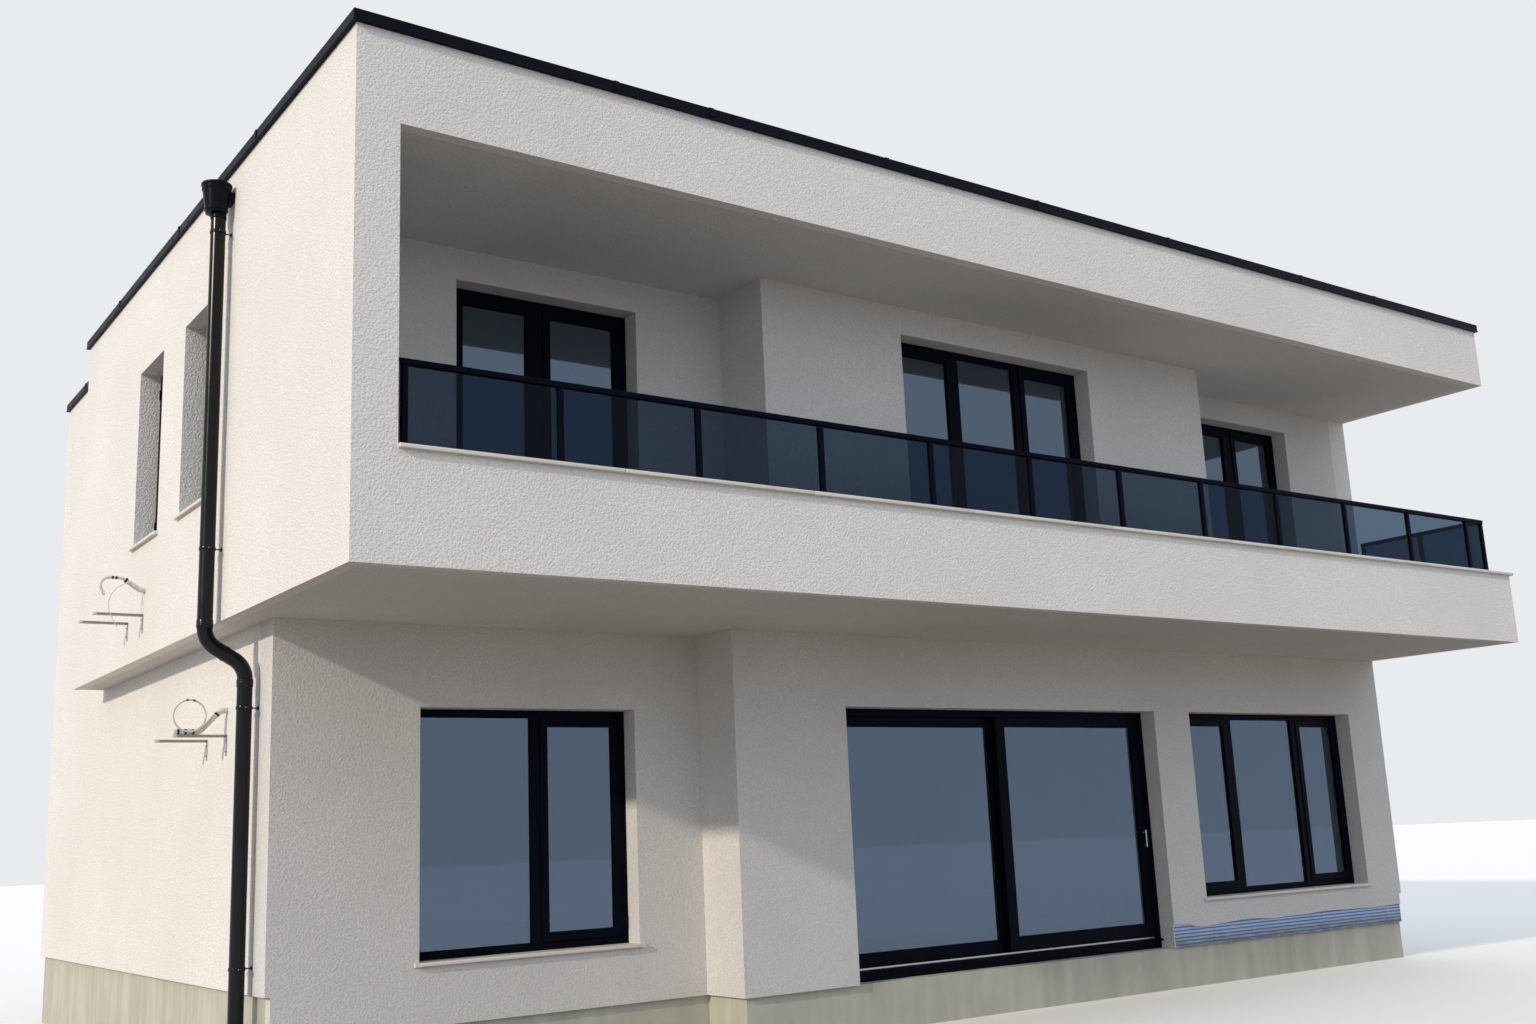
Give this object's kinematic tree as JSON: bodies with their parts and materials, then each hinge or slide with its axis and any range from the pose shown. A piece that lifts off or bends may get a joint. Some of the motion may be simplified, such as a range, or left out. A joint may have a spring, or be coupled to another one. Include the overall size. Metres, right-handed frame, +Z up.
{
  "type": "detached house",
  "caption": "Two-storey flat-roofed detached house: rendered upper box over a set-back ground floor, full-width balcony with a glass railing, and a sliding terrace door.",
  "frame": {"origin": "centre of the house's outline on the ground, under the base", "axes": "+X along the front towards the terrace door's closing side, +Y from the balcony front to the rear, +Z up"},
  "size_m": [13.465, 10.13, 6.955],
  "materials": {
    "render_white": "coarse grained mineral render, off-white",
    "render_grey": "coarse grained mineral render, pale grey",
    "concrete": "bare cast concrete",
    "insulation": "bare foam board",
    "stone": "honed limestone",
    "frame_anthracite": "satin powder coating",
    "sheet_anthracite": "coated folded sheet",
    "steel_dark": "satin paint",
    "galvanised": "galvanised",
    "aluminium": "anodised",
    "tinted_glass": "dark blue-grey laminated glass",
    "window_glass": "solar control glazing",
    "membrane": "bitumen sheet",
    "pipe_cover": "foam pipe cover"
  },
  "bodies": {
    "house": {"base_slab": "concrete", "plinth_upstand": "concrete", "base_insulation": "insulation", "ground_wall_left": "render_white", "ground_wall_rear": "render_white", "ground_wall_right": "render_white", "ground_wall_front_left": "render_grey", "ground_door_pier": "render_grey", "ground_door_lintel": "render_grey", "ground_wall_front_right": "render_grey", "upper_floor_slab": "render_grey", "balcony_parapet": "render_white", "parapet_cap": "stone", "box_left_wall": "render_white", "upper_wall_rear_left": "render_white", "upper_wall_rear": "render_white", "upper_wall_right": "render_white", "upper_wall_front_left": "render_grey", "upper_wall_front_bay": "render_grey", "upper_wall_front_right": "render_grey", "roof_slab": "render_grey", "roof_covering": "membrane", "roof_fascia": "render_white", "roof_coping": "sheet_anthracite", "roof_spout": "galvanised", "hopper_head": "sheet_anthracite", "downpipe_upper": "sheet_anthracite", "downpipe_neck": "sheet_anthracite", "downpipe_lower": "sheet_anthracite", "downpipe_clamps": "steel_dark", "railing_posts": "steel_dark", "railing_top_rail": "steel_dark", "railing_glass": "tinted_glass", "bracket_arms": "galvanised", "bracket_legs": "galvanised", "pipe_tails": "pipe_cover", "window_sills": "stone", "ground_window_frames": "frame_anthracite", "ground_window_glass": "window_glass", "balcony_door_frames": "frame_anthracite", "balcony_door_glass": "window_glass", "side_window_frames": "frame_anthracite", "side_window_glass": "window_glass", "rear_window_frames": "frame_anthracite", "rear_window_glass": "window_glass", "door_threshold": "frame_anthracite", "door_frame": "frame_anthracite", "door_fixed_leaf": "frame_anthracite", "door_fixed_glass": "window_glass"},
    "sliding_leaf": {"door_sliding_leaf": "frame_anthracite", "door_sliding_glass": "window_glass", "door_rollers": "galvanised", "door_handle": "aluminium"}
  },
  "joints": [
    {"name": "terrace_door_slide", "type": "slide", "parent": "house", "child": "sliding_leaf", "axis": [-1, 0, 0], "range_m": [0, 1.851]}
  ]
}
